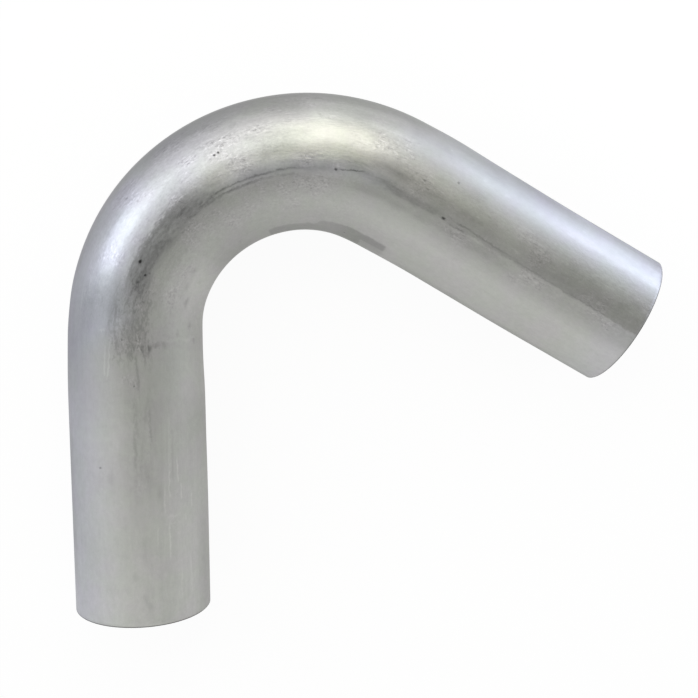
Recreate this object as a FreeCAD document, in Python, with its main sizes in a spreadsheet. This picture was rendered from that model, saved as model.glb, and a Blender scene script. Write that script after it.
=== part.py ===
import FreeCAD, Part
import math
import os

import Sketcher

App = FreeCAD
Vector = App.Vector
Constraint = Sketcher.Constraint

# A bare aluminium tube with one mandrel bend of 120 degrees between two straight legs.
# Frame: the origin is the centre of leg A's open end and +Y runs up inside leg A.
# The bend turns towards +X, and its own plane is XY, so the tube lies on its side.
# Lengths are in millimetres, the angle in degrees, the wall's changes in percent.
SIZES = {
    "outer_diameter": 101.6,
    "wall_thickness": 2.11,
    "bend_radius": 127.0,
    "bend_angle": 120.0,
    "leg_a_length": 208.3,
    "leg_b_length": 203.2,
    "lead_in": 60.0,
    "run_out": 130.0,
    "flattening": 4.6,
    "mandrel_hump": 1.1,
    "wall_thinning": 16.0,
    "wall_thickening": 25.0,
    "end_break": 0.3,
}

# The centreline's edges past leg A's round stretch, in the order in which they are drawn: the
# lead-in that the wiper die draws in, the bend, the run-out over the hump, leg B's round stretch.
LEAD_IN, BEND, RUN_OUT, LEG_B = "Edge2", "Edge3", "Edge4", "Edge5"

# Oval sections, from leg A round the bend: name, edge, place along it, and the shares there
# of the flattening, of the hump (by which the section stands outwards) and of the wall's change.
OVAL_SECTIONS = [
    ("DrawBegins", LEAD_IN, 0.3, 0.06, 0.1, 0.0),
    ("DrawnIn", LEAD_IN, 0.6, 0.36, 0.4, 0.0),
    ("BendStart", BEND, 0.0, 0.76, 0.4, 0.3),
    ("BendFlattest", BEND, 0.15, 1.0, 0.35, 1.0),
    ("BendThird", BEND, 0.35, 0.8, 0.25, 1.0),
    ("BendTwoThirds", BEND, 0.65, 0.6, -0.3, 1.0),
    ("BendRecovers", BEND, 0.85, 0.33, -0.1, 0.9),
]

# Round sections past the bend, where the mandrel left its hump: name, edge, place and hump share.
ROUND_SECTIONS = [
    ("BendEnd", RUN_OUT, 0.0, 0.3),
    ("Hump", RUN_OUT, 0.3, 1.0),
    ("HumpFades", RUN_OUT, 0.68, 0.4),
    ("HumpDies", RUN_OUT, 0.88, 0.08),
]


def make_sheet(doc):
    """The driving sizes, one named cell each."""
    sheet = doc.addObject("Spreadsheet::Sheet", "Sizes")
    for row, (alias, value) in enumerate(SIZES.items(), start=1):
        sheet.set(f"A{row}", alias)
        sheet.set(f"B{row}", str(value))
        sheet.setAlias(f"B{row}", alias)
    doc.recompute()
    return sheet


def add_size(sketch, name, constraint, expression):
    """Adds a constraint under a name of its own and ties it to the sheet."""
    index = sketch.addConstraint(constraint)
    sketch.renameConstraint(index, name)
    sketch.setExpression(f"Constraints.{name}", expression)


def draw_centreline(body):
    """Leg A, its lead-in, the bend, its run-out and leg B, tangent to each other."""
    radius, angle = SIZES["bend_radius"], math.radians(SIZES["bend_angle"])
    lead_in, run_out = SIZES["lead_in"], SIZES["run_out"]
    straight_a = SIZES["leg_a_length"] - lead_in
    straight_b = SIZES["leg_b_length"] - run_out
    lead_start = Vector(0, straight_a, 0)
    tangent_a = Vector(0, SIZES["leg_a_length"], 0)
    centre = tangent_a + Vector(radius, 0, 0)
    halfway = centre + Vector(-math.cos(angle / 2), math.sin(angle / 2), 0) * radius
    tangent_b = centre + Vector(-math.cos(angle), math.sin(angle), 0) * radius
    way_out = Vector(math.sin(angle), math.cos(angle), 0)
    run_end = tangent_b + way_out * run_out
    leg_end = run_end + way_out * straight_b

    sketch = body.newObject("Sketcher::SketchObject", "Centreline")
    plane = next(item for item in body.Origin.OriginFeatures if item.Role == "XY_Plane")
    sketch.AttachmentSupport = (plane, [""])
    sketch.MapMode = "FlatFace"
    leg_a = sketch.addGeometry(Part.LineSegment(Vector(0, 0, 0), lead_start))
    lead = sketch.addGeometry(Part.LineSegment(lead_start, tangent_a))
    bend = sketch.addGeometry(Part.Arc(tangent_a, halfway, tangent_b))
    run = sketch.addGeometry(Part.LineSegment(tangent_b, run_end))
    leg_b = sketch.addGeometry(Part.LineSegment(run_end, leg_end))

    # The arc's end on leg A, and its end on leg B.
    first, last = sorted((1, 2), key=lambda end: sketch.getPoint(bend, end).distanceToPoint(tangent_a))
    sketch.addConstraint(Constraint("Coincident", leg_a, 1, -1, 1))
    sketch.addConstraint(Constraint("Vertical", leg_a))
    sketch.addConstraint(Constraint("Coincident", leg_a, 2, lead, 1))
    sketch.addConstraint(Constraint("Vertical", lead))
    sketch.addConstraint(Constraint("Tangent", lead, 2, bend, first))
    sketch.addConstraint(Constraint("Tangent", bend, last, run, 1))
    sketch.addConstraint(Constraint("Coincident", run, 2, leg_b, 1))
    sketch.addConstraint(Constraint("Parallel", run, leg_b))
    add_size(sketch, "straight_a", Constraint("Distance", leg_a, straight_a),
             "Sizes.leg_a_length - Sizes.lead_in")
    add_size(sketch, "lead_in", Constraint("Distance", lead, lead_in), "Sizes.lead_in")
    add_size(sketch, "bend_radius", Constraint("Radius", bend, radius), "Sizes.bend_radius")
    add_size(sketch, "bend_angle", Constraint("Angle", bend, angle), "Sizes.bend_angle")
    add_size(sketch, "run_out", Constraint("Distance", run, run_out), "Sizes.run_out")
    add_size(sketch, "straight_b", Constraint("Distance", leg_b, straight_b),
             "Sizes.leg_b_length - Sizes.run_out")
    return sketch


def start_section(body, centreline, name, edge, place):
    """An empty sketch square to the centreline: its X is up, its Y is the outside of the bend."""
    sketch = body.newObject("Sketcher::SketchObject", name)
    sketch.AttachmentSupport = (centreline, [edge])
    sketch.MapMode = "NormalToEdge"
    sketch.MapPathParameter = place
    sketch.AttachmentOffset = App.Placement(Vector(0, 0, 0), App.Rotation(Vector(0, 0, 1), 90))
    return sketch


def draw_round_section(body, centreline, name, edge, place, hump_share=0.0):
    """The tube's plain section, standing outwards by its share of the hump."""
    outer_radius = SIZES["outer_diameter"] / 2
    offset = SIZES["mandrel_hump"] * hump_share
    sketch = start_section(body, centreline, name, edge, place)
    walls = [
        ("outer", outer_radius, "Sizes.outer_diameter / 2"),
        ("inner", outer_radius - SIZES["wall_thickness"],
         "Sizes.outer_diameter / 2 - Sizes.wall_thickness"),
    ]
    for wall, radius, expression in walls:
        circle = sketch.addGeometry(Part.Circle(Vector(0, offset, 0), Vector(0, 0, 1), radius))
        add_size(sketch, f"{wall}_radius", Constraint("Radius", circle, radius), expression)
        if hump_share:
            sketch.addConstraint(Constraint("PointOnObject", circle, 3, -2))
            add_size(sketch, f"{wall}_offset", Constraint("DistanceY", -1, 1, circle, 3, offset),
                     f"Sizes.mandrel_hump * {hump_share}")
        else:
            sketch.addConstraint(Constraint("Coincident", circle, 3, -1, 1))
    return sketch


def draw_ellipse(sketch, wall, half_height, out_reach, in_reach, expressions):
    """An ellipse by its half height and its reach to the outside and inside of the bend."""
    middle = (out_reach - in_reach) / 2
    ellipse = sketch.addGeometry(Part.Ellipse(Vector(half_height, middle, 0),
                                              Vector(0, out_reach, 0), Vector(0, middle, 0)))
    sketch.exposeInternalGeometry(ellipse)
    long_axis, short_axis = ellipse + 1, ellipse + 2
    outwards = max((1, 2), key=lambda end: sketch.getPoint(short_axis, end).y)
    inwards = 3 - outwards
    sketch.addConstraint(Constraint("PointOnObject", ellipse, 3, -2))
    sketch.addConstraint(Constraint("Horizontal", long_axis))
    height, out_expression, in_expression = expressions
    add_size(sketch, f"{wall}_height", Constraint("Distance", long_axis, 2 * half_height), height)
    add_size(sketch, f"{wall}_outwards",
             Constraint("DistanceY", -1, 1, short_axis, outwards, out_reach), out_expression)
    add_size(sketch, f"{wall}_inwards",
             Constraint("DistanceY", short_axis, inwards, -1, 1, in_reach), in_expression)


def draw_oval_section(body, centreline, name, edge, place, flat_share, hump_share, wall_share):
    """The section in the bend, flattened in the bend's plane, its wall thin outside, thick inside."""
    radius, wall = SIZES["outer_diameter"] / 2, SIZES["wall_thickness"]
    loss = SIZES["flattening"] / 2 * flat_share
    offset = SIZES["mandrel_hump"] * hump_share
    out_wall = wall * (1 - SIZES["wall_thinning"] / 100 * wall_share)
    in_wall = wall * (1 + SIZES["wall_thickening"] / 100 * wall_share)
    flat = f"Sizes.outer_diameter / 2 - Sizes.flattening / 2 * {flat_share}"
    hump = f"Sizes.mandrel_hump * {hump_share}"
    thin = f"Sizes.wall_thickness * (1 - Sizes.wall_thinning / 100 * {wall_share})"
    thick = f"Sizes.wall_thickness * (1 + Sizes.wall_thickening / 100 * {wall_share})"

    sketch = start_section(body, centreline, name, edge, place)
    draw_ellipse(sketch, "outer", radius, radius - loss + offset, radius - loss - offset,
                 ("Sizes.outer_diameter", f"{flat} + {hump}", f"{flat} - {hump}"))
    draw_ellipse(sketch, "inner", radius - wall,
                 radius - loss + offset - out_wall, radius - loss - offset - in_wall,
                 ("Sizes.outer_diameter - 2 * Sizes.wall_thickness",
                  f"{flat} + {hump} - {thin}", f"{flat} - {hump} - {thick}"))
    return sketch


def pad_leg(body, name, section, length):
    """A straight leg, from its section down the centreline towards leg A's open end."""
    leg = body.newObject("PartDesign::Pad", name)
    leg.Profile = section
    leg.setExpression("Length", length)
    return leg


def sweep_bend(body, centreline, sections):
    """The bend with its lead-in and run-out, in one sweep through all its sections."""
    bend = body.newObject("PartDesign::AdditivePipe", "Bend")
    bend.Profile = sections[0]
    bend.Spine = (centreline, [LEAD_IN, BEND, RUN_OUT])
    bend.Sections = [(section, [""]) for section in sections[1:]]
    bend.Transformation = "Multisection"
    bend.Mode = "Binormal"
    bend.Binormal = Vector(0, 0, 1)
    return bend


def break_ends(body, tube, centreline):
    """Takes the saw's burr off both rims, inside and outside."""
    ends = [Vector(0, 0, 0), centreline.Shape.Edges[-1].lastVertex().Point]
    rims = [f"Edge{index}" for index, edge in enumerate(tube.Shape.Edges, start=1)
            if isinstance(edge.Curve, Part.Circle)
            and min(edge.Curve.Center.distanceToPoint(end) for end in ends) < SIZES["end_break"]]
    chamfer = body.newObject("PartDesign::Chamfer", "EndBreaks")
    chamfer.Base = (tube, rims)
    chamfer.setExpression("Size", "Sizes.end_break")
    return chamfer


def make_bend_tube(doc):
    body = doc.addObject("PartDesign::Body", "BendTube")
    body.Label = "bend_tube"
    centreline = draw_centreline(body)
    doc.recompute()
    first = draw_round_section(body, centreline, "LegAInner", LEAD_IN, 0.0)
    ovals = [draw_oval_section(body, centreline, *station) for station in OVAL_SECTIONS]
    rounds = [draw_round_section(body, centreline, *station) for station in ROUND_SECTIONS]
    last = draw_round_section(body, centreline, "LegBInner", RUN_OUT, 1.0)
    mouth = draw_round_section(body, centreline, "LegBMouth", LEG_B, 1.0)
    doc.recompute()
    pad_leg(body, "LegA", first, "Sizes.leg_a_length - Sizes.lead_in")
    sweep_bend(body, centreline, [first, *ovals, *rounds, last])
    leg_b = pad_leg(body, "LegB", mouth, "Sizes.leg_b_length - Sizes.run_out")
    doc.recompute()
    break_ends(body, leg_b, centreline)
    doc.recompute()
    return body


def check(doc, bodies):
    """Stops before anything is written if a feature failed or a shape is unsound."""
    failed = [item.Label for item in doc.Objects if {"Invalid", "Error"} & set(item.State)]
    if failed:
        raise RuntimeError(f"failed features: {failed}")
    for body in bodies:
        if body.Shape.isNull() or not body.Shape.isValid() or len(body.Shape.Solids) != 1:
            raise RuntimeError(f"{body.Label} isn't one sound solid")


def main():
    os.makedirs("parts", exist_ok=True)
    doc = App.newDocument("MandrelBendTube")
    make_sheet(doc)
    bodies = [make_bend_tube(doc)]
    doc.recompute()
    check(doc, bodies)
    for body in bodies:
        body.Shape.exportStep(f"parts/{body.Label}.step")
        box = body.Shape.BoundBox
        print(f"{body.Label}: {body.Shape.Volume / 1000:.1f} cm3,",
              f"{box.XLength:.1f} x {box.YLength:.1f} x {box.ZLength:.1f} mm")


main()
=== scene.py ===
from functools import reduce
import math

import bpy
import numpy as np
from mathutils import Matrix, Vector, noise


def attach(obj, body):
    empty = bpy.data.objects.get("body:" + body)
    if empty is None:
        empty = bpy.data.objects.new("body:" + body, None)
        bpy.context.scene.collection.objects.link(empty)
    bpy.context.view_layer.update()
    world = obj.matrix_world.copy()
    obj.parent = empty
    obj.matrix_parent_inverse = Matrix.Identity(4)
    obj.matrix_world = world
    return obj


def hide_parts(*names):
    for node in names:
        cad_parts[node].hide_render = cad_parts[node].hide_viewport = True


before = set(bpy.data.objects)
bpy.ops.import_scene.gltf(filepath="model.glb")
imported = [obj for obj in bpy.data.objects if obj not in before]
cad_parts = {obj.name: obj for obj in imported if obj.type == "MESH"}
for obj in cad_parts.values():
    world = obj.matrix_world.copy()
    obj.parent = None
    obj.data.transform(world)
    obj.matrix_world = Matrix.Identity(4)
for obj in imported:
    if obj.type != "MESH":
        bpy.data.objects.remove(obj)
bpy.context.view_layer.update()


# The photo's camera, which looks down on the tube as it lies on its side. Metres and degrees.
cameraSetup = {
    "place": (0.1138, 0.3145, 0.8272),
    "turn": 3.11,  # of the line of sight, towards +X
    "tilt": 8.14,  # of the line of sight, towards -Y
    "roll": -0.11,
    "focalPixels": 1109.6,
    "imagePixels": 698,
    "sensor": 36.0,
}


def makeCamera(setup):
    turn, tilt, roll = (math.radians(setup[name]) for name in ("turn", "tilt", "roll"))
    sight = Vector((math.sin(turn) * math.cos(tilt), -math.sin(tilt), -math.cos(turn) * math.cos(tilt)))
    level = Vector((math.cos(turn), 0, math.sin(turn)))
    upright = level.cross(sight)
    across = math.cos(roll) * level + math.sin(roll) * upright
    up = math.cos(roll) * upright - math.sin(roll) * level
    data = bpy.data.cameras.new("photoCamera")
    data.sensor_width = setup["sensor"]
    data.lens = setup["focalPixels"] * setup["sensor"] / setup["imagePixels"]
    camera = bpy.data.objects.new("photoCamera", data)
    turned = Matrix((across, up, -sight)).transposed().to_4x4()
    camera.matrix_world = Matrix.Translation(Vector(setup["place"])) @ turned
    bpy.context.collection.objects.link(camera)
    bpy.context.scene.camera = camera


makeCamera(cameraSetup)
print("camera made")


# The tube. Its centreline runs from the open end of leg A, and the angle round its section
# is 0 on the inside of the bend, 90 on top and 180 on the outside. Metres and degrees.
tube = {
    "radius": 0.0508,
    "wall": 0.00211,
    "bendRadius": 0.127,
    "bendAngle": 120,
    "legA": 0.2083,
    "legB": 0.2032,
    "leadIn": 0.060,
    "runOut": 0.130,
    "flattening": 0.0046,
    "hump": 0.0011,
    "thinning": 0.16,
    "thickening": 0.25,
    "endBreak": 0.0003,
    "ringSpacing": 0.0024,
    "outerFacets": 216,
    "innerFacets": 96,
    "blend": 0.010,  # over which one section eases into the next
}
bendLength = tube["bendRadius"] * math.radians(tube["bendAngle"])
tangentB = tube["legA"] + bendLength
tubeLength = tangentB + tube["legB"]
leadStart = tube["legA"] - tube["leadIn"]

# Along the centreline: the share of the flattening, of the hump and of the wall's change.
sectionShares = [
    (leadStart, 0, 0, 0),
    (leadStart + 0.3 * tube["leadIn"], 0.06, 0.1, 0),
    (leadStart + 0.6 * tube["leadIn"], 0.36, 0.4, 0),
    (tube["legA"], 0.76, 0.4, 0.3),
    (tube["legA"] + 0.15 * bendLength, 1, 0.35, 1),
    (tube["legA"] + 0.35 * bendLength, 0.8, 0.25, 1),
    (tube["legA"] + 0.65 * bendLength, 0.6, -0.3, 1),
    (tube["legA"] + 0.85 * bendLength, 0.33, -0.1, 0.9),
    (tangentB, 0, 0.3, 0),
    (tangentB + 0.3 * tube["runOut"], 0, 1, 0),
    (tangentB + 0.68 * tube["runOut"], 0, 0.4, 0),
    (tangentB + 0.88 * tube["runOut"], 0, 0.08, 0),
    (tangentB + tube["runOut"], 0, 0, 0),
]


def easedShare(along, column):
    places = [row[0] for row in sectionShares]
    shares = [row[column] for row in sectionShares]
    offsets = np.linspace(-1.5, 1.5, 13) * tube["blend"]
    weights = np.exp(-(offsets / tube["blend"]) ** 2)
    sampled = [np.interp(along + offset, places, shares) for offset in offsets]
    return np.average(sampled, axis=0, weights=weights)


def centreline(along):
    turned = np.clip((along - tube["legA"]) / tube["bendRadius"], 0, math.radians(tube["bendAngle"]))
    pastBend = np.maximum(along - tangentB, 0)
    x = tube["bendRadius"] * (1 - np.cos(turned)) + pastBend * np.sin(turned)
    y = np.minimum(along, tube["legA"]) + tube["bendRadius"] * np.sin(turned) + pastBend * np.cos(turned)
    outwards = np.stack([-np.cos(turned), np.sin(turned), np.zeros_like(along)], axis=-1)
    return np.stack([x, y, np.zeros_like(along)], axis=-1), outwards


# Slight swells and hollows of the outside, pressed in by the dies: place along the tube, angle
# round it, half length, half width in degrees, and height in metres.
swells = [
    (0.222, 180, 0.012, 70, -0.0005),
    (0.335, 180, 0.045, 60, -0.0002),
    (0.495, 180, 0.020, 38, 0.0006),
    (0.145, 0, 0.040, 60, -0.0006),
    (0.213, 0, 0.014, 50, 0.0005),
    (0.405, 0, 0.040, 50, -0.0004),
    (0.462, 0, 0.018, 50, 0.0004),
    (0.300, 112, 0.016, 26, -0.00012),
    (0.352, 104, 0.020, 24, -0.00014),
    (0.395, 118, 0.018, 28, -0.00012),
    (0.262, 120, 0.014, 24, -0.00010),
]


def swellAt(along, angles):
    degrees = np.degrees(angles)
    height = np.zeros((len(along), len(angles)))
    for place, turn, length, width, top in swells:
        away = (degrees - turn + 180) % 360 - 180
        lengthwise = np.exp(-((along - place) / length) ** 2)
        height += top * lengthwise[:, None] * np.exp(-(away / width) ** 2)[None, :]
    return height


def skin(along, angles, inset, outerSkin):
    flat, hump, change = (easedShare(along, column) for column in (1, 2, 3))
    half = tube["radius"] - tube["flattening"] / 2 * flat
    outReach, inReach = half + tube["hump"] * hump, half - tube["hump"] * hump
    height = np.full_like(along, tube["radius"])
    if not outerSkin:
        outReach = outReach - tube["wall"] * (1 - tube["thinning"] * change)
        inReach = inReach - tube["wall"] * (1 + tube["thickening"] * change)
        height = height - tube["wall"]
    centre, outwards = centreline(along)
    outReach, inReach, height = outReach - inset, inReach - inset, height - inset
    swell = swellAt(along, angles)
    middle = ((outReach - inReach) / 2)[:, None]
    across = middle - (((outReach + inReach) / 2)[:, None] + swell) * np.cos(angles)
    rise = (height[:, None] + swell) * np.sin(angles)
    points = centre[:, None, :] + across[..., None] * outwards[:, None, :]
    points[..., 2] += rise
    return points


# Where each surface lies on the map that a bake uses: its lowest and highest v. Along the tube is u.
mapRows = {"outer": (0.005, 0.485), "inner": (0.495, 0.955), "endA": (0.965, 0.975), "endB": (0.985, 0.995)}


def makeTube():
    rings = int(round(tubeLength / tube["ringSpacing"]))
    broken = tube["endBreak"]
    outerAlong = np.concatenate([[0], np.linspace(broken, tubeLength - broken, rings), [tubeLength]])
    innerAlong = np.concatenate([[0], np.linspace(broken, tubeLength - broken, rings // 2), [tubeLength]])
    points, straight, faces, surfaceParts, mapPlaces = [], [], [], [], []

    def addFace(corners, places, part, flipped):
        faces.append(corners[::-1] if flipped else corners)
        mapPlaces.extend(places[::-1] if flipped else places)
        surfaceParts.append(part)

    def addSkin(along, facets, outerSkin):
        first = sum(len(part) for part in points)
        angles = np.arange(facets) * 2 * math.pi / facets
        inset = np.zeros_like(along)
        inset[[0, -1]] = broken if outerSkin else -broken
        grid = skin(along, angles, inset, outerSkin)
        points.append(grid.reshape(-1, 3))
        size = tube["radius"] if outerSkin else tube["radius"] - tube["wall"]
        flatGrid = np.empty_like(grid)
        flatGrid[..., 0] = along[:, None]
        flatGrid[..., 1] = -size * np.cos(angles)
        flatGrid[..., 2] = size * np.sin(angles)
        straight.append(flatGrid.reshape(-1, 3))
        low, high = mapRows["outer" if outerSkin else "inner"]
        u = 0.005 + 0.99 * along / tubeLength
        v = low + (high - low) * np.arange(facets + 1) / facets
        for ring in range(len(along) - 1):
            near, far = first + ring * facets, first + (ring + 1) * facets
            for facet in range(facets):
                after = (facet + 1) % facets
                corners = (near + facet, near + after, far + after, far + facet)
                places = [(u[ring], v[facet]), (u[ring], v[facet + 1]),
                          (u[ring + 1], v[facet + 1]), (u[ring + 1], v[facet])]
                addFace(corners, places, 0 if outerSkin else 1, not outerSkin)
        return first, first + (len(along) - 1) * facets

    # Each end's cut face joins the finer outer rim to the coarser inner one.
    def closeEnd(outer, inner, row, flipped):
        outerCount, innerCount = tube["outerFacets"], tube["innerFacets"]
        low, high = mapRows[row]
        outerStep, innerStep = 0, 0
        while outerStep < outerCount or innerStep < innerCount:
            corners = [outer + outerStep % outerCount, inner + innerStep % innerCount]
            places = [(outerStep / outerCount, low), (innerStep / innerCount, high)]
            if innerStep * outerCount < outerStep * innerCount or outerStep == outerCount:
                innerStep += 1
                corners.insert(1, inner + innerStep % innerCount)
                places.insert(1, (innerStep / innerCount, high))
            else:
                outerStep += 1
                corners.insert(1, outer + outerStep % outerCount)
                places.insert(1, (outerStep / outerCount, low))
            addFace(tuple(corners), places, 2, flipped)

    outerFirst, outerLast = addSkin(outerAlong, tube["outerFacets"], True)
    innerFirst, innerLast = addSkin(innerAlong, tube["innerFacets"], False)
    closeEnd(outerFirst, innerFirst, "endA", True)
    closeEnd(outerLast, innerLast, "endB", False)

    mesh = bpy.data.meshes.new("bendTube")
    mesh.from_pydata(np.concatenate(points).tolist(), [], faces)
    attribute = mesh.attributes.new("straight", "FLOAT_VECTOR", "POINT")
    attribute.data.foreach_set("vector", np.concatenate(straight).astype(np.float32).ravel())
    bakeMap = mesh.uv_layers.new(name="OFBake")
    bakeMap.data.foreach_set("uv", np.array(mapPlaces, dtype=np.float32).ravel())
    mesh.polygons.foreach_set("material_index", surfaceParts)
    mesh.polygons.foreach_set("use_smooth", [part < 2 for part in surfaceParts])
    mesh.validate()
    mesh.update()
    piece = bpy.data.objects.new("bendTube", mesh)
    bpy.context.collection.objects.link(piece)
    return piece


tubePiece = makeTube()
print("tube meshed", len(tubePiece.data.polygons), "faces")


# One shader value. An expression on such values adds its Math nodes.
class Wire:
    def __init__(self, tree, socket=None):
        self.tree, self.socket = tree, socket

    def node(self, kind, settings=None, inputs=None, output=0):
        made = self.tree.nodes.new(kind)
        for name, value in (settings or {}).items():
            if name == "stops":
                self.setStops(made.color_ramp, value)
            else:
                setattr(made, name, value)
        for name, value in (inputs or {}).items():
            if isinstance(value, Wire):
                self.tree.links.new(value.socket, made.inputs[name])
            else:
                made.inputs[name].default_value = value
        return Wire(self.tree, made.outputs[output]) if made.outputs else None

    def setStops(self, ramp, stops):
        while len(ramp.elements) < len(stops):
            ramp.elements.new(0.5)
        for element, (place, tone) in zip(ramp.elements, stops):
            element.position = place
            element.color = (tone, tone, tone, 1)

    def calculate(self, operation, *values):
        return self.node("ShaderNodeMath", {"operation": operation}, dict(enumerate(values)))

    def ease(self, low, high):
        limits = {"Value": self, "From Min": low, "From Max": high}
        return self.node("ShaderNodeMapRange", {"interpolation_type": "SMOOTHSTEP"}, limits)

    def size(self):
        return self.calculate("ABSOLUTE", self)

    def most(self, other):
        return self.calculate("MAXIMUM", self, other)

    def split(self):
        parts = self.node("ShaderNodeSeparateXYZ", {}, {"Vector": self}).socket.node
        return [Wire(self.tree, socket) for socket in parts.outputs]

    def stretched(self, *factors):
        return self.node("ShaderNodeVectorMath", {"operation": "MULTIPLY"}, {0: self, 1: factors})

    def scaled(self, factor):
        return self.node("ShaderNodeVectorMath", {"operation": "SCALE"}, {0: self, "Scale": factor})

    def tinted(self, colour):
        return self.node("ShaderNodeVectorMath", {"operation": "SCALE"}, {0: colour[:3], "Scale": self})

    def surfaceValue(self, name):
        return self.node("ShaderNodeAttribute", {"attribute_name": name}, {}, "Vector")

    def noise(self, scale, detail=3.0, roughness=0.5):
        settings = {"Vector": self, "Scale": scale, "Detail": detail, "Roughness": roughness}
        return self.node("ShaderNodeTexNoise", {}, settings) - 0.5

    def __add__(self, other):
        return self.calculate("ADD", self, other)

    def __sub__(self, other):
        return self.calculate("SUBTRACT", self, other)

    def __rsub__(self, other):
        return self.calculate("SUBTRACT", other, self)

    def __mul__(self, other):
        return self.calculate("MULTIPLY", self, other)

    def __truediv__(self, other):
        return self.calculate("DIVIDE", self, other)

    __radd__ = __add__
    __rmul__ = __mul__


def mixColour(factor, first, second):
    sockets = {"Factor": factor, "A": first, "B": second}
    made = factor.tree.nodes.new("ShaderNodeMix")
    made.data_type = "RGBA"
    for name, value in sockets.items():
        socket = next(s for s in made.inputs if s.name == name and (s.type == "RGBA") == (name != "Factor"))
        if isinstance(value, Wire):
            factor.tree.links.new(value.socket, socket)
        else:
            socket.default_value = value
    return Wire(factor.tree, next(s for s in made.outputs if s.type == "RGBA"))


# Empties the node tree of a material or a world.
def startTree(owner):
    owner.use_nodes = True
    owner.node_tree.nodes.clear()
    return Wire(owner.node_tree)


# Ends a finish of bare metal. Its relief is in mm.
def endFinish(colour, roughness, relief, more=None):
    normal = relief.node("ShaderNodeBump", {}, {"Strength": 1.0, "Distance": 0.001, "Height": relief})
    shader = relief.node("ShaderNodeBsdfPrincipled", {}, {
        "Base Color": colour, "Metallic": 1.0, "Roughness": roughness, "Normal": normal, **(more or {})})
    relief.node("ShaderNodeOutputMaterial", {}, {"Surface": shader})


# The skin's finish. Places along the tube are in mm from leg A's open end, angles in degrees
# round its section as above. The bend die and its clamp polished the outer half past leg A, up
# to their parting line, and left the inner half matte.
skinFinish = {
    "coolColour": (0.972, 0.986, 1.080, 1),
    "warmColour": (1.0, 1.004, 0.963, 1),
    "greenTint": (0.992, 1.006, 0.985, 1),
    "mauveTint": (1.010, 0.994, 1.018, 1),
    "grimeColour": (0.132, 0.134, 0.132, 1),
    "brightTone": [(0, 0.50), (60, 0.46), (140, 0.420), (185, 0.365), (215, 0.34), (262, 0.385), (677, 0.385)],
    "matteTone": [(0, 0.475), (60, 0.470), (140, 0.425), (205, 0.378), (260, 0.435), (330, 0.400),
                  (420, 0.455), (500, 0.487), (620, 0.487), (677, 0.515)],
    # How far the outer half leans to the cool colour, partly a painted tint of the lamps' light: least where
    # the warm top lamp's highlight lies.
    "coolShare": [(0, 0.70), (180, 0.82), (205, 1.0), (262, 0.88), (300, 0.70), (330, 0.62), (350, 0.42),
                  (385, 0.12), (455, 0.10), (490, 0.35), (520, 0.60), (570, 0.90), (677, 1.0)],
    "brightRoughness": 0.37,
    "legBRoughness": 0.49,
    "matteRoughness": 0.60,
    "edgeTint": (0.62, 0.62, 0.62, 1),
    "partingAngle": 83.0,
    "polishStart": (228, 266),
    "pitColour": (0.02, 0.02, 0.02, 1),
    "mostGrime": 0.85,
}
# What marks the side that faces up: place, angle, half length in mm, half width in degrees, and
# depth, which is negative where pale.
pits = [
    (267.0, 92.5, 1.8, 1.5, 1.0),
    (259.5, 84.3, 1.2, 1.1, 0.9),
    (350.2, 111.8, 1.1, 1.1, 0.9),
    (352.9, 112.2, 1.1, 1.1, 0.9),
    (428.8, 84.8, 1.4, 1.6, 0.7),
    (513.3, 84.0, 1.7, 1.3, 0.8),
    (451.5, 23.5, 1.0, 0.8, 0.5),
    (488.8, 102.8, 1.6, 0.9, 0.45),
    (511.0, 115.2, 1.2, 1.5, 0.4),
    (262.0, 81.5, 0.8, 0.8, 0.35),
    (178.0, 84.5, 0.9, 0.7, 0.5),
    (118.5, 115.5, 0.8, 1.6, 0.4),
]
specks = [
    (216, 45.5, 4.5, 1.5, 0.26),
    (271, 34.5, 2.4, 2.4, 0.16),
    (332, 29.5, 2.2, 3.5, 0.12),
    (205.5, 77, 2.8, 1.6, 0.5),
    (206.5, 65.5, 2.4, 4, 0.42),
    (206, 25, 2, 2.2, 0.22),
    (209.5, 34, 1.6, 28, -0.05),
    (76, 56, 1, 6.5, -0.06),
    (82, 56, 1.2, 6, -0.07),
    (79, 43.5, 3, 1.4, -0.08),
    (216, 109.5, 1, 4.5, -0.09),
    (221, 104.5, 3, 1.2, 0.16),
    (233, 85, 2.4, 1.6, 0.36),
    (263, 96.8, 8, 1, 0.3),
    (272.5, 130, 2.2, 1.5, 0.22),
    (282, 98.4, 5, 1.3, 0.26),
    (300, 98.8, 6, 1.2, 0.28),
    (312, 88.5, 5, 1.4, 0.3),
    (366, 132, 1.8, 7, 0.14),
    (385, 116, 4, 0.9, 0.26),
    (363, 113.3, 3.5, 0.9, 0.14),
    (416.5, 129, 0.7, 4.5, 0.26),
    (421, 127, 1.2, 1.8, 0.2),
    (443, 93.5, 6, 1.6, 0.14),
    (477.5, 89, 3, 1.2, 0.2),
    (439, 84, 6, 1.6, -0.05),
    (582, 97.2, 3, 1.5, 0.22),
    (597, 98, 3, 1.4, 0.22),
    (587, 93.5, 2, 1.4, 0.18),
    (605, 103.5, 1.8, 1.6, -0.12),
    (534.5, 98.5, 1.8, 1.2, -0.14),
    (571, 91.5, 5, 1.2, -0.1),
    (640, 88.5, 2, 1.4, -0.14),
    (643, 104.5, 5, 1.4, -0.12),
    (496.5, 142, 1.8, 1.6, -0.09),
    (527.5, 130.5, 1.6, 1.4, -0.08),
    (548.5, 129.5, 1.6, 1.4, -0.08),
]
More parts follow.
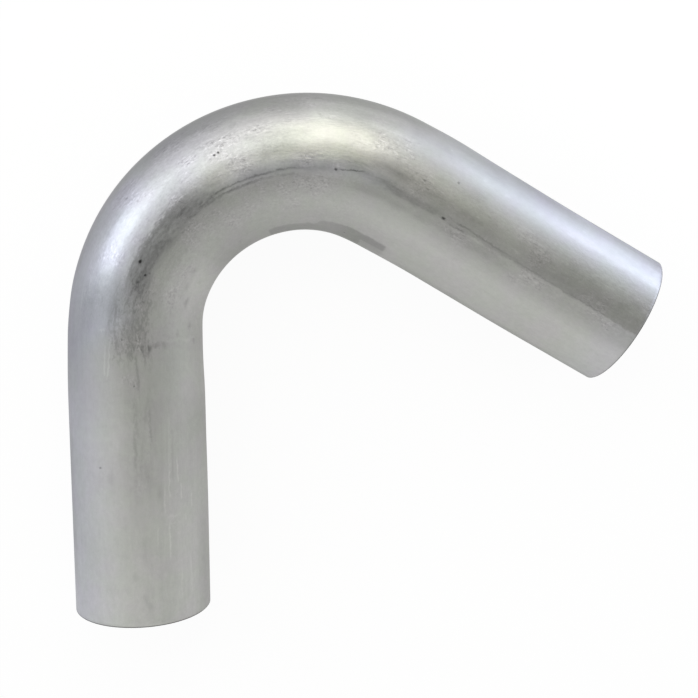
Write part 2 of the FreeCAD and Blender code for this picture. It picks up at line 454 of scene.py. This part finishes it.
# Broader smudges, painted on the mesh.
blotches = [
    (248, 40.5, 6, 2.6, 0.34),
    (264, 46, 4.5, 2, 0.18),
    (278, 47, 2.6, 2.2, 0.2),
    (222, 31, 4, 2.6, 0.26),
    (290, 64, 3.6, 2, 0.24),
    (21, 79, 9, 2.4, 0.2),
    (38, 87, 4, 3.2, 0.18),
    (57, 81, 9, 2.4, 0.1),
    (99, 66, 7, 3, 0.15),
    (115, 78, 5, 5, 0.12),
    (108, 106, 6.5, 5, 0.09),
    (155, 77, 7, 5, 0.12),
    (145, 84.5, 6, 3, 0.18),
    (205, 72, 3.4, 2.6, 0.5),
    (205.5, 59.5, 2.8, 2.8, 0.3),
    (221, 96, 4.5, 4.5, -0.16),
    (208, 91, 4, 2.6, -0.1),
    (228, 91.5, 3, 2.4, -0.12),
    (229.5, 86, 3.4, 2.4, -0.16),
    (225, 126, 16, 9.5, 0.16),
    (249, 86.3, 9, 2.4, 0.8),
    (241, 79.5, 5.5, 3, 0.34),
    (290, 79.5, 12, 3.6, 0.2),
    (374.5, 115, 4.5, 2.4, 0.18),
    (406.5, 113, 5, 4, 0.14),
    (432, 95, 2.6, 2, 0.2),
    (470, 97, 16, 3.4, 0.22),
    (502, 96, 14, 2.6, 0.26),
    (532, 95.5, 14, 2.6, 0.26),
    (667, 103, 5, 3.4, 0.18),
    (634, 91, 2.6, 3.4, -0.08),
    (652, 80, 3, 2, -0.08),
]
# Broad changes of tone, most of them painted highlights and painted shade that widen, narrow and dim the
# lamps' reflections, the rest lighter and darker patches of the metal: along the tube from, to and their
# softness, the same round it, and how much.
paintedLightAndToneShades = [
    (30, 140, 25, 152, 172, 5, -0.12),
    (-30, 70, 25, -30, 27, 9, -0.12),
    (165, 292, 22, -30, 46, 10, 0.17),
    (505, 720, 15, -30, 15, 6, -0.14),
    (226, 250, 9, 94, 127, 6, -0.14),
    (200, 248, 8, 74, 94, 4, -0.15),
    (248, 326, 12, 101, 112, 3, -0.14),
    (285, 348, 14, 126, 137, 5, 0.13),
    (312, 402, 20, 141, 168, 6, -0.15),
    (376, 404, 6, 97, 116, 3, -0.15),
    (350, 432, 9, 86, 98, 3, 0.14),
    (407, 464, 8, 125, 148, 5, 0.22),
    (345, 430, 12, 124, 137, 4, 0.12),
    (352, 470, 10, 96, 104, 3, -0.10),
    (465, 500, 10, 94, 108, 4, -0.12),
    (252, 285, 8, 84, 96, 4, -0.14),
    (380, 402, 8, 86, 97, 3, 0.12),
    (440, 462, 8, 104, 114, 4, 0.12),
    (440, 566, 14, 73, 83, 3, -0.13),
    (472, 720, 18, 141, 166, 6, 0.12),
    (590, 720, 25, 126, 163, 3, 0.13),
    (228, 262, 8, 77, 84, 3, -0.07),
    (198, 224, 6, 86, 94, 3, 0.05),
    (600, 720, 20, 84, 94, 3, -0.05),
    (440, 470, 8, 112, 132, 5, 0.10),
    (315, 345, 8, 76, 84, 3, 0.14),
    (-30, 110, 20, 66, 84, 5, 0.05),
    (198, 250, 8, 96, 106, 3, -0.05),
    (236, 285, 8, 64, 74, 3, -0.06),
    (150, 195, 14, 142, 162, 6, 0.06),
    (465, 492, 6, -30, 34, 3, -0.06),
]
# Thin lines: from, to, the angle at each, half width in degrees, and depth as above.
lines = [
    (240, 264, 86.0, 86.8, 1.20, 0.45),
    (318, 394, 80.4, 79.8, 0.80, 0.42),
    (334, 402, 83.4, 84.0, 0.70, 0.50),
    (405, 428, 82.5, 83.5, 2.20, 0.12),
    (430, 449, 85.0, 87.6, 0.50, 0.75),
    (449, 478, 87.4, 88.0, 0.80, 0.25),
    (458, 516, 85.2, 84.4, 2.50, 0.30),
    (521, 568, 86.4, 85.6, 0.60, 0.42),
    (517, 533, 82.6, 82.6, 0.60, 0.28),
    (568, 604, 84.4, 84.0, 0.55, 0.22),
    (618, 646, 83.6, 83.6, 0.50, 0.25),
    (52, 76, 59.0, 59.3, 0.60, -0.10),
    (105, 122, 50.0, 50.3, 0.55, -0.13),
    (92, 102, 47.0, 47.4, 0.50, -0.12),
    (84, 96, 36.0, 36.2, 0.60, -0.10),
    (86, 104, 63.0, 62.6, 0.50, -0.10),
    (96, 118, 58.6, 58.3, 0.45, -0.10),
    (60, 74, 69.5, 69.0, 0.50, -0.07),
    (20, 46, 38.0, 38.6, 0.70, -0.06),
    (16, 40, 49.0, 48.6, 0.60, -0.05),
    (118, 158, 58.0, 57.6, 0.60, -0.07),
    (108, 140, 55.0, 54.8, 0.80, 0.12),
    (136, 158, 73.0, 73.2, 0.90, 0.18),
    (112, 165, 86.0, 84.5, 1.20, 0.16),
    (183, 212, 106.5, 102.5, 0.55, -0.12),
    (186, 208, 109.0, 107.0, 0.55, -0.10),
    (170, 200, 81.0, 81.5, 0.70, 0.20),
]
# Where the surface is flecked with small scuffs: as for the shades.
fleckedPlaces = [
    (300, 404, 14, 98, 124, 5, 1.3),
    (228, 300, 8, 104, 138, 6, 0.8),
    (244, 338, 8, 75, 99, 3, 1.6),
    (203, 248, 6, 77, 105, 4, 1.7),
    (362, 414, 8, 104, 121, 4, 0.9),
    (436, 480, 8, 108, 129, 5, 0.9),
    (235, 430, 20, 50, 78, 8, 0.6),
    (340, 440, 10, 86, 98, 3, 0.8),
    (478, 690, 16, 72, 112, 7, 0.65),
    (255, 445, 20, 134, 157, 6, 0.5),
    (170, 205, 10, 78, 96, 5, 0.5),
    (92, 160, 14, 68, 90, 6, 0.3),
]


def toneStops(tones):
    return [(place / (tubeLength * 1000), tone) for place, tone in tones]


# A soft spot round one place, on a vector of places along the tube and angles.
def spot(where, place, turn, length, width):
    scaled, middle = where.stretched(1 / length, 1 / width, 0), (place / length, turn / width, 0)
    away = where.node("ShaderNodeVectorMath", {"operation": "DISTANCE"}, {0: scaled, 1: middle}, "Value")
    return away.ease(1.35, 0.25)


# 1 from low to high, with soft ends. The next two do the same to numbers.
def stretch(value, low, high, soft):
    return value.ease(low - soft, low + soft) * (1 - value.ease(high - soft, high + soft))


def eased(values, low, high):
    share = np.clip((values - low) / (high - low), 0, 1)
    return share * share * (3 - 2 * share)


def between(values, low, high, soft):
    return eased(values, low - soft, low + soft) * (1 - eased(values, high - soft, high + soft))


# Lays these on the mesh, as its attribute "marks": the broad shades with their painted highlights and painted
# shade, the smudges and the flecks.
def layMarks(mesh):
    straight = np.empty(len(mesh.vertices) * 3, dtype=np.float32)
    mesh.attributes["straight"].data.foreach_get("vector", straight)
    straight = straight.reshape(-1, 3)
    wander = np.array([noise.noise_vector(Vector(place) * 90) for place in straight])
    along = straight[:, 0] * 1000 + wander[:, 0] * 5
    angle = np.degrees(np.arctan2(straight[:, 2], -straight[:, 1])) + wander[:, 1] * 3
    paintedLightAndTone, smudge, fleck = np.zeros(len(along)), np.zeros(len(along)), np.zeros(len(along))
    for nearEnd, farEnd, soft, low, high, turnSoft, change in paintedLightAndToneShades:
        patch = between(along, nearEnd, farEnd, soft) * between(np.abs(angle), low, high, turnSoft)
        paintedLightAndTone = (1 + paintedLightAndTone) * (1 + patch * change) - 1
    for nearEnd, farEnd, soft, low, high, turnSoft, much in fleckedPlaces:
        patch = between(along, nearEnd, farEnd, soft) * between(np.abs(angle), low, high, turnSoft)
        fleck = np.maximum(fleck, patch * much)
    for place, turn, length, width, depth in blotches:
        away = np.hypot((along - place) / length, (angle - turn) / width)
        mark = depth * (1 - eased(away, 0.25, 1.35))
        smudge = np.where(np.abs(mark) > np.abs(smudge), mark, smudge)
    marks = np.stack([paintedLightAndTone, smudge, fleck], axis=-1).astype(np.float32)
    mesh.attributes.new("marks", "FLOAT_VECTOR", "POINT").data.foreach_set("vector", marks.ravel())


# Grime along the parting line, heaviest where the bend begins.
def grimeOf(along, side, smear, blots, flakes, scuffs):
    raggedSide = side + blots * 7 + flakes * 0.8
    upperReach = 322 + (97 - side) * 1.1
    heavy = stretch(along, 246, upperReach, 13) * side.ease(73, 83) * (1 - raggedSide.ease(95, 100))
    heavy = heavy * (0.97 + blots * 0.9 + smear * 0.6 + scuffs)
    first = stretch(along, 196, 252, 10) * stretch(side, 70, 104, 6) * (blots + scuffs + 0.08).ease(0, 0.24)
    later = stretch(along, 330, 410, 16) * stretch(side, 76, 86, 2.5) * (blots + 0.3).ease(0.0, 0.7)
    last = stretch(along, 452, 640, 28) * stretch(side, 85, 101, 4) * (blots + 0.25).ease(0.0, 0.7)
    dusty = stretch(along, 90, 200, 30) * stretch(side, 66, 94, 8) * (blots + 0.2).ease(-0.1, 0.5)
    return heavy * 0.66 + first * 0.40 + later * 0.36 + last * 0.20 + dusty * 0.18


# The wiper die burnished the inside of the bend, up to where the bend let go of it.
def wiperOf(trueAlong, along, side, fine):
    edge = 27.5 + stretch(along, 422, 500, 5) * 7
    wiper = stretch(trueAlong + fine * 2, 365, 491, 1.0) * (1 - (side - edge).ease(-1.2, 1.2))
    wiper = wiper * (1 - stretch(along, 472, 496, 1.5) * (1 - side.ease(23.0, 26.0)) * 0.6)
    return wiper * (0.25 + side.ease(2, 14) * 0.75)


# The dark marks and the pale ones: the mesh's smudges, the lines and the specks.
def marksOf(smudge, trueAlong, along, angle, medium):
    marks = {"dark": smudge.most(0), "pale": (0 - smudge).most(0)}

    def addMark(mark, depth):
        kind = "dark" if depth > 0 else "pale"
        marks[kind] = marks[kind].most(mark * abs(depth))

    raggedAlong = trueAlong + medium * 14
    for nearEnd, farEnd, turn, farTurn, width, depth in lines:
        slope = (farTurn - turn) / (farEnd - nearEnd)
        away = (angle - turn - (trueAlong - nearEnd) * slope).size()
        soft = min(14, (farEnd - nearEnd) / 4)
        line = stretch(raggedAlong, nearEnd, farEnd, soft) * (1 - away.ease(width * 0.3, width * 2.0))
        addMark(line, depth)
    where = smudge.node("ShaderNodeCombineXYZ", {}, {"X": along, "Y": angle})
    for place, turn, length, width, depth in specks:
        addMark(spot(where, place, turn, length, width), depth)
    return marks["dark"], marks["pale"]


def pitsOf(trueAlong, trueAngle, fine):
    places = {"X": trueAlong + fine * 1.4, "Y": trueAngle + fine * 1.6}
    where = fine.node("ShaderNodeCombineXYZ", {}, places)
    return reduce(Wire.most, [spot(where, *place) * depth for *place, depth in pits])


# How far the colour leans to the cool one. It is partly a painted tint of the lamps' light: bluer towards the
# outside of the bend and beside the highlight where the bend begins, and less warm below the top lamp's
# highlight.
def coolnessOf(trueAlong, side, outerHalf, coolShare):
    nearStart = stretch(trueAlong, 212, 345, 15)
    cool = ((side - 90 + nearStart * 18) / (58 - nearStart * 20)).ease(0, 1) * coolShare
    cool = cool + stretch(trueAlong, 236, 305, 12) * stretch(side, 125, 150, 6) * 0.35
    cool = cool + trueAlong.ease(630, 670) * (1 - outerHalf) * 0.25
    return cool + stretch(trueAlong, 352, 470, 14) * outerHalf * (1 - side.ease(98, 125)) * 0.40


def makeSkinFinish(look):
    material = bpy.data.materials.new("bareAluminiumSkin")
    start = startTree(material)
    straight = start.surfaceValue("straight")
    lengthwise, outwards, up = straight.split()
    trueAlong = lengthwise * 1000
    trueAngle = start.calculate("ARCTAN2", up, 0 - outwards) * math.degrees(1)
    paintedLightAndTone, smudge, flecked = start.surfaceValue("marks").split()

    # Patterns in the metal, from broad ones to grain, some drawn out along it or across it.
    clouds, patches = straight.noise(24, 6.0, 0.62), straight.noise(40, 4.0, 0.6)
    broad, medium = straight.noise(45), straight.noise(190)
    fine, grain = straight.noise(640, 2.0), straight.noise(1700, 1.0)
    draw = straight.stretched(14, 330, 330).noise(1.0, 4.0, 0.6)
    rubbed = straight.stretched(420, 55, 55).noise(1.0, 3.0, 0.6)
    ticks = straight.stretched(950, 150, 150).noise(1.0, 2.0, 0.5)
    smear = straight.stretched(60, 190, 190).noise(1.0, 5.0, 0.65)
    speckle = straight.stretched(260, 520, 520).noise(1.0, 3.0, 0.6)
    flecks = straight.stretched(520, 780, 780).noise(1.0, 2.0, 0.6)
    blots = smear * 0.9 + speckle * 0.9
    sparks = flecks.ease(0.05, 0.17) - (0 - flecks).ease(0.05, 0.17)
    flakes = speckle.ease(0.05, 0.12) - (0 - speckle).ease(0.05, 0.12)
    scuffs = sparks * 0.10 + flakes * 0.16

    # Ragged places, so that no mark has a ruled edge.
    along = trueAlong + medium * 9 + broad * 4 + fine * 3
    angle = trueAngle + medium * 3 + fine * 1.6 + broad * 2
    side = (trueAngle + medium * 2.4 + broad * 3.0 + fine * 0.8).size()

    # Where the dies polished, rubbed and wore it.
    softEdge = 1 + 5 * (1 - trueAlong.ease(440, 520)) + 12 * (1 - trueAlong.ease(170, 240))
    pastEdge = side + (smear + speckle) * 6 - look["partingAngle"] + softEdge * 0.4
    outerHalf = pastEdge.ease(0 - softEdge, softEdge)
    bright = outerHalf * along.ease(*look["polishStart"])
    worked = stretch(trueAlong, 230, 500, 45) * outerHalf
    worn = stretch(trueAlong, 208, 462, 22)
    drawn = stretch(side, 24, 70, 8) * (1 - trueAlong.ease(140, 200))
    ticks = ticks * worked * (broad + clouds).ease(-0.02, 0.10)
    flecked = flecked * (0.30 + patches.ease(0.0, 0.13) * 1.3)

    # How light the metal is.
    share = lengthwise / tubeLength
    brightTone, matteTone, coolShare = (
        share.node("ShaderNodeValToRGB", {"stops": toneStops(look[name])}, {"Fac": share})
        for name in ("brightTone", "matteTone", "coolShare"))
    tone = 1 + clouds * 0.22 + medium * 0.12 + draw * (0.12 + drawn * 0.07) + fine * 0.14 + grain * 0.12
    tone = tone + speckle * 0.12 + (sparks * 0.14 + flakes * 0.10) * flecked
    tone = tone + flecks * worn * 0.16 + rubbed * worked * 0.04 + ticks * 0.09
    tone = tone * (1 - side.ease(55, 77) * (1 - outerHalf) * trueAlong.ease(205, 290) * 0.22)
    tone = tone * (1 - outerHalf * (1 - side.ease(92, 113)) * trueAlong.ease(440, 480) * 0.18)
    # The broad shades: painted highlights and painted shade, with some patches of the metal's own tone.
    tone = tone * (1 + paintedLightAndTone)

    grime = grimeOf(along, side, smear, blots, flakes, scuffs)
    wiper = wiperOf(trueAlong, along, side, fine)
    dark, pale = marksOf(smudge, trueAlong, along, angle, medium)
    pit = pitsOf(trueAlong, trueAngle, fine)
    dark, pale = dark * (0.9 + blots * 2.6), pale * (1 + blots * 1.6)
    # A painted shadow darkens a thin ring of the outer skin at each cut end.
    paintedRimShadow = 1 - stretch(trueAlong, 0.7, tubeLength * 1000 - 0.5, 0.4)
    burnish = wiper * (0.22 + trueAlong.ease(430, 460) * 0.07)
    mark = (1 - dark * 0.6) * (1 + pale) * (1 - burnish) * (1 - paintedRimShadow * 0.7)

    cool = coolnessOf(trueAlong, side, outerHalf, coolShare)
    colour = mixColour(cool, look["warmColour"], look["coolColour"])
    tint = mixColour((patches + 0.5).ease(0.35, 0.65), look["greenTint"], look["mauveTint"])
    colour = colour.node("ShaderNodeVectorMath", {"operation": "MULTIPLY"}, {0: colour, 1: tint})
    colour = colour.scaled((matteTone + outerHalf * (brightTone - matteTone)) * tone)
    colour = mixColour(grime.calculate("MINIMUM", grime, look["mostGrime"]), colour, look["grimeColour"])
    colour = mixColour(pit, colour.scaled(mark), look["pitColour"])

    past = trueAlong.ease(440, 500) * (look["legBRoughness"] - look["brightRoughness"])
    roughness = look["matteRoughness"] + bright * (look["brightRoughness"] - look["matteRoughness"] + past)
    roughness = roughness + grime * 0.10 - wiper * 0.10 + paintedRimShadow * 0.2
    roughness = roughness + clouds * 0.24 + fine * 0.12 + draw * 0.08

    # Orange peel, draw lines, scuffs, the pits, and the flash left at the parting line.
    peel = straight.noise(420, 2.0)
    relief = peel * (0.014 + bright * 0.020) + draw * 0.012 + fine * 0.012
    relief = relief + rubbed * worked * 0.010 - pit * 0.12
    relief = relief + (clouds * 0.20 + smear * 0.12 + speckle * 0.035 + flecks * 0.02 + ticks * 0.015) * bright
    relief = relief + (sparks * 0.006 + flakes * 0.012) * flecked
    relief = relief + (side - look["partingAngle"]).ease(-1.5, 1.0) * along.ease(470, 560) * 0.02
    endFinish(colour, roughness, relief, {"Specular Tint": look["edgeTint"]})
    return material


# The bore keeps the drawn finish, rubbed bright in streaks where the mandrel ran.
boreFinish = {
    "colour": (0.43, 0.433, 0.425, 1),
    "roughness": 0.50,
    "rubbedRoughness": 0.34,
}


def makeBoreFinish(look):
    material = bpy.data.materials.new("bareAluminiumBore")
    straight = startTree(material).surfaceValue("straight")
    trueAlong = straight.split()[0] * 1000
    draw = straight.stretched(9, 420, 420).noise(1.0, 4.0, 0.6)
    scored = straight.stretched(16, 1100, 1100).noise(1.0, 2.0, 0.6)
    clouds, fine = straight.noise(34, 5.0, 0.6), straight.noise(700, 2.0)
    rubbed = stretch(trueAlong + clouds * 30, 190, 500, 20) * (draw + 0.5).ease(0.35, 0.7)
    tone = 1 + draw * 0.30 + clouds * 0.30 + fine * 0.12 - scored.ease(0.16, 0.28) * 0.25 + rubbed * 0.10
    roughness = look["roughness"] + rubbed * (look["rubbedRoughness"] - look["roughness"]) + clouds * 0.15
    endFinish(tone.tinted(look["colour"]), roughness, draw * 0.020 + scored * 0.015 + fine * 0.006)
    return material


# The ends are sawn square, so they are brighter, with fine parallel marks.
cutFinish = {
    "colour": (0.56, 0.56, 0.555, 1),
    "darkColour": (0.36, 0.36, 0.355, 1),
    "roughness": 0.42,
}


def makeCutFinish(look):
    material = bpy.data.materials.new("bareAluminiumSawn")
    straight = startTree(material).surfaceValue("straight")
    sawMarks = straight.stretched(0, 2600, 90).noise(1.0, 3.0, 0.6)
    shine = (sawMarks + straight.noise(120, 3.0) + 0.5).ease(0.2, 0.8)
    colour = mixColour(shine, look["darkColour"], look["colour"])
    endFinish(colour, look["roughness"] + sawMarks * 0.2, sawMarks * 0.03)
    return material


layMarks(tubePiece.data)
for finish in (makeSkinFinish(skinFinish), makeBoreFinish(boreFinish), makeCutFinish(cutFinish)):
    tubePiece.data.materials.append(finish)
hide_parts("bend_tube")
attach(tubePiece, "root")
print("finish made")


# The floor reads as white to the eye and in the metal, and keeps a faint shadow of the tube.
stage = {
    "floorHeight": -0.0508,
    "floorMiddle": (0.2, 0.15),
    "floorSize": 12.0,
    "floorColour": (0.82, 0.82, 0.82, 1),
    "whiteness": 0.94,
}


def makeFloor(setup):
    half = setup["floorSize"] / 2
    corners = [(-half, -half, 0), (half, -half, 0), (half, half, 0), (-half, half, 0)]
    mesh = bpy.data.meshes.new("floor")
    mesh.from_pydata(corners, [], [(0, 1, 2, 3)])
    floor = bpy.data.objects.new("floor", mesh)
    floor.location = (*setup["floorMiddle"], setup["floorHeight"])
    bpy.context.collection.objects.link(floor)
    material = bpy.data.materials.new("floor")
    start = startTree(material)
    path = start.node("ShaderNodeLightPath").socket.node.outputs
    rays = ("Is Camera Ray", "Is Glossy Ray", "Is Transmission Ray")
    seen = reduce(Wire.most, [Wire(start.tree, path[ray]) for ray in rays])
    white = start.node("ShaderNodeEmission", {}, {"Color": (1, 1, 1, 1), "Strength": 1.0})
    paper = start.node("ShaderNodeBsdfDiffuse", {}, {"Color": setup["floorColour"]})
    mixed = start.node("ShaderNodeMixShader", {}, {0: seen * setup["whiteness"], 1: paper, 2: white})
    start.node("ShaderNodeOutputMaterial", {}, {"Surface": mixed})
    mesh.materials.append(material)


makeFloor(stage)


# The studio: white all round but for the dim side that the camera looks from, with soft boxes
# on the photo's upper side. Bearings run from +Y towards +X and lifts up from the floor's plane,
# in degrees. A box has its distance, width and height in metres, and its radiance and colour.
studio = {
    "white": (1.0, 1.0, 1.0, 1),
    "dim": (0.36, 0.36, 0.36, 1),
    "dimBearing": 62,
    "dimLift": 66,
    "dimReach": (8, 48),
}
softBoxes = {
    "coolLeft": {"aim": (0.02, 0.26, 0), "bearing": -69, "lift": 27, "distance": 1.4, "size": (0.60, 0.85),
                 "radiance": 2.4, "colour": (0.85, 0.92, 1.0)},
    "overheadBand": {"aim": (0.16, 0.20, 0), "bearing": -24, "lift": 38, "distance": 1.6, "size": (2.2, 1.3),
                     "radiance": 1.1, "colour": (1.0, 1.0, 1.0)},
    "warmTop": {"aim": (0.16, 0.20, 0), "bearing": 7, "lift": 47, "distance": 1.5, "size": (0.62, 1.4),
                "radiance": 1.55, "colour": (1.0, 0.985, 0.70)},
    "coolRight": {"aim": (0.30, 0.29, 0), "bearing": 58, "lift": 3, "distance": 0.50, "size": (0.66, 0.36),
                  "radiance": 2.9, "colour": (0.79, 0.86, 1.0)},
}


def direction(bearing, lift):
    bearing, lift = math.radians(bearing), math.radians(lift)
    level = math.cos(lift)
    return Vector((math.sin(bearing) * level, math.cos(bearing) * level, math.sin(lift)))


def makeStudio(setup, boxes):
    world = bpy.data.worlds.new("studio")
    bpy.context.scene.world = world
    start = startTree(world)
    ray = start.node("ShaderNodeTexCoord", {}, {}, "Generated")
    dimWay = direction(setup["dimBearing"], setup["dimLift"])
    facing = start.node("ShaderNodeVectorMath", {"operation": "DOT_PRODUCT"}, {0: ray, 1: dimWay}, "Value")
    near, far = (math.cos(math.radians(angle)) for angle in setup["dimReach"])
    sky = mixColour(facing.ease(far, near), setup["white"], setup["dim"])
    background = start.node("ShaderNodeBackground", {}, {"Color": sky, "Strength": 1.0})
    start.node("ShaderNodeOutputWorld", {}, {"Surface": background})
    for name, box in boxes.items():
        way = direction(box["bearing"], box["lift"])
        light = bpy.data.lights.new(name, "AREA")
        light.shape = "RECTANGLE"
        light.size, light.size_y = box["size"]
        light.energy = box["radiance"] * math.pi * light.size * light.size_y
        light.color = box["colour"]
        lamp = bpy.data.objects.new(name, light)
        lamp.location = Vector(box["aim"]) + way * box["distance"]
        lamp.rotation_mode = "QUATERNION"
        lamp.rotation_quaternion = (-way).to_track_quat("-Z", "Y")
        lamp.visible_camera = False
        bpy.context.collection.objects.link(lamp)


makeStudio(studio, softBoxes)
bpy.context.scene.view_settings.view_transform = "Standard"
print("studio lit")
